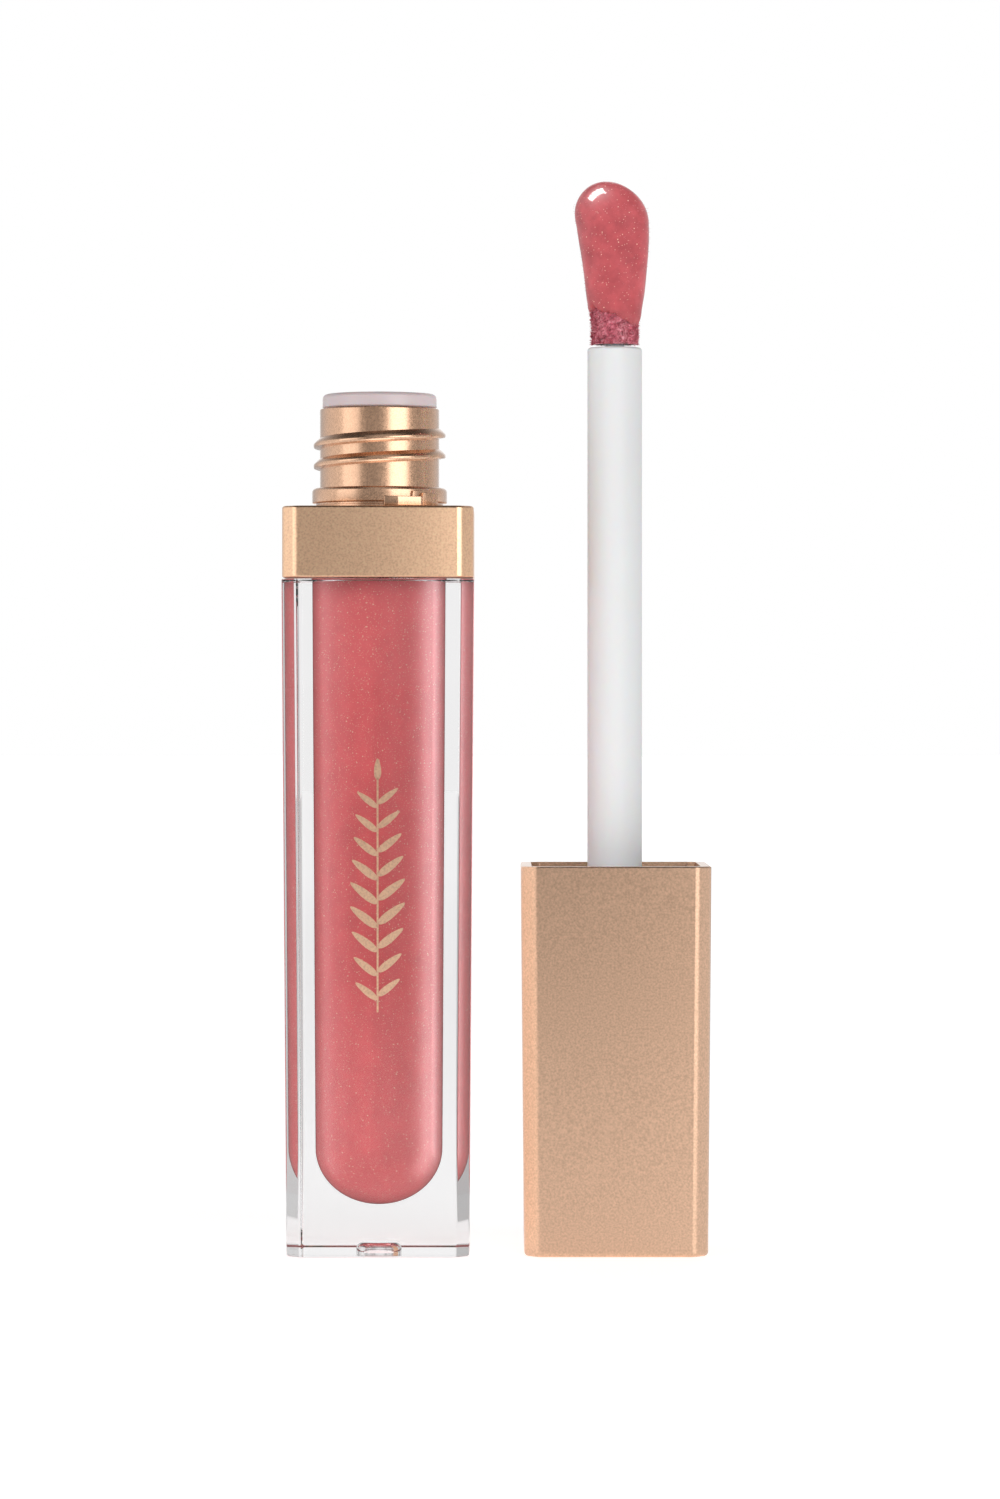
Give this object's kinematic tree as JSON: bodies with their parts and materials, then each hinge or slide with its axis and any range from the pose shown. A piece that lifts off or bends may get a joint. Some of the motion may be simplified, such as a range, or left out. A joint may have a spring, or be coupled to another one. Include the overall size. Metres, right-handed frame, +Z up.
{
  "type": "lip gloss tube",
  "caption": "Square clear lip gloss bottle with a gold threaded neck and wiper, beside its gold cap with a doe-foot wand that turns over, goes in and screws shut.",
  "frame": {"origin": "midway between the outer sides of the bottle and of the cap, on the surface that both stand on", "axes": "+Z up, the bottle's front faces -Y, the bottle stands towards -X and the cap with its wand towards +X"},
  "size_m": [0.0404, 0.0182, 0.1016],
  "materials": {
    "clear_plastic": "clear and polished",
    "pink_gloss": "translucent rose pink with fine glitter",
    "gold_lacquer": "satin rose gold",
    "milky_plastic": "milky, half clear",
    "white_plastic": "white, satin",
    "plated_steel": "plain plated",
    "white_foam": "soft white foam",
    "wet_flock": "short flock, wet with gloss"
  },
  "bodies": {
    "bottle": {"outer_bottle": "clear_plastic", "gloss_fill": "pink_gloss", "collar": "gold_lacquer", "threaded_neck": "gold_lacquer", "wiper": "milky_plastic"},
    "turned_over": {"tip_pin": "white_plastic"},
    "inserted": {"cap_gasket": "white_foam"},
    "advanced": {"cap_weight": "plated_steel"},
    "cap_and_wand": {"over_cap": "gold_lacquer", "inner_cap": "white_plastic", "wand_stem": "white_plastic", "tip_core": "white_foam", "tip_flock": "wet_flock", "gloss_coat": "pink_gloss"}
  },
  "joints": [
    {"name": "cap_turn_over", "type": "hinge", "parent": "bottle", "child": "turned_over", "pos_m": [0.00005, 0, 0.0929], "axis": [0, -1, 0], "range_deg": [0, 180]},
    {"name": "wand_insert", "type": "slide", "parent": "turned_over", "child": "inserted", "axis": [0, 0, 1], "range_m": [0, 0.0755], "deforming": ["gloss_fill", "wiper"]},
    {"name": "thread_advance", "type": "slide", "parent": "inserted", "child": "advanced", "axis": [0, 0, 1], "range_m": [0, 0.00294]},
    {"name": "cap_twist", "type": "hinge", "parent": "advanced", "child": "cap_and_wand", "pos_m": [0.01125, 0, 0.03665], "axis": [0, 0, 1], "range_deg": [0, 540]}
  ],
  "couplings": [
    {"joint": "thread_advance", "follows": "cap_twist", "m_per_rad": 0.00031194}
  ]
}
